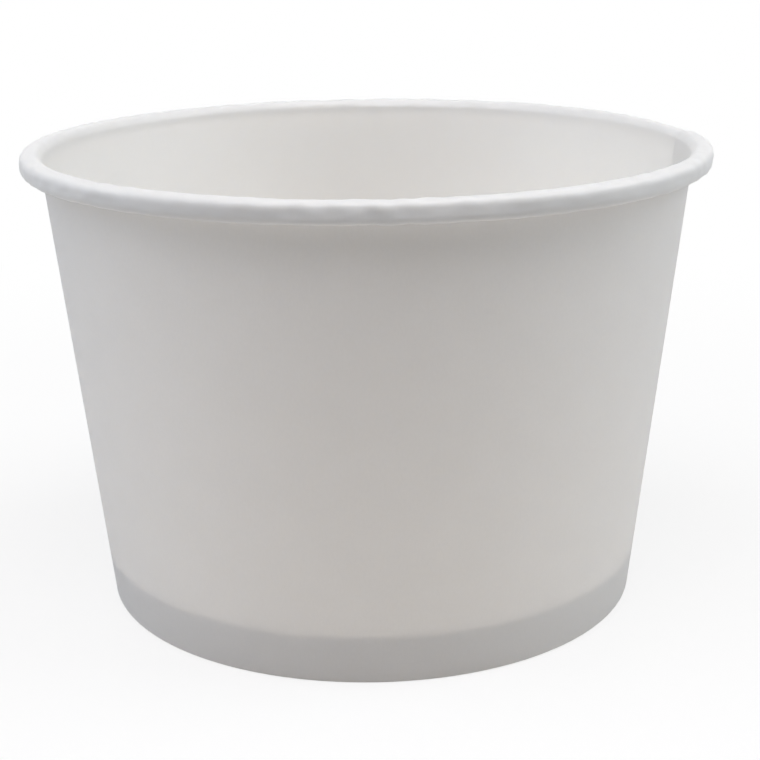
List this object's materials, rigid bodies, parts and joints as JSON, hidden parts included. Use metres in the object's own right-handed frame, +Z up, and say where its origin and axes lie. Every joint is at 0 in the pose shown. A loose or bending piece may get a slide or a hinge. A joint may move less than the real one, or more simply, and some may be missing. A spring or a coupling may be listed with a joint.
{
  "type": "paper bowl",
  "caption": "Round tapered takeaway bowl of white coated paper board, with a rolled rim, a lapped side seam and a raised base held in a folded foot.",
  "frame": {"origin": "centre of the foot, on the surface that the bowl stands on", "axes": "+Z up along the bowl's axis; the picture looks along +Y, with +X to the right"},
  "size_m": [0.116, 0.116, 0.0783],
  "materials": {
    "wall_board": "white paper board with a thin satin polyethylene film on the food side and a smooth uncoated outside",
    "base_board": "white paper board with a thin satin polyethylene film on its food side"
  },
  "bodies": {
    "root": {"sidewall": "wall_board", "base_disc": "base_board"}
  },
  "joints": []
}
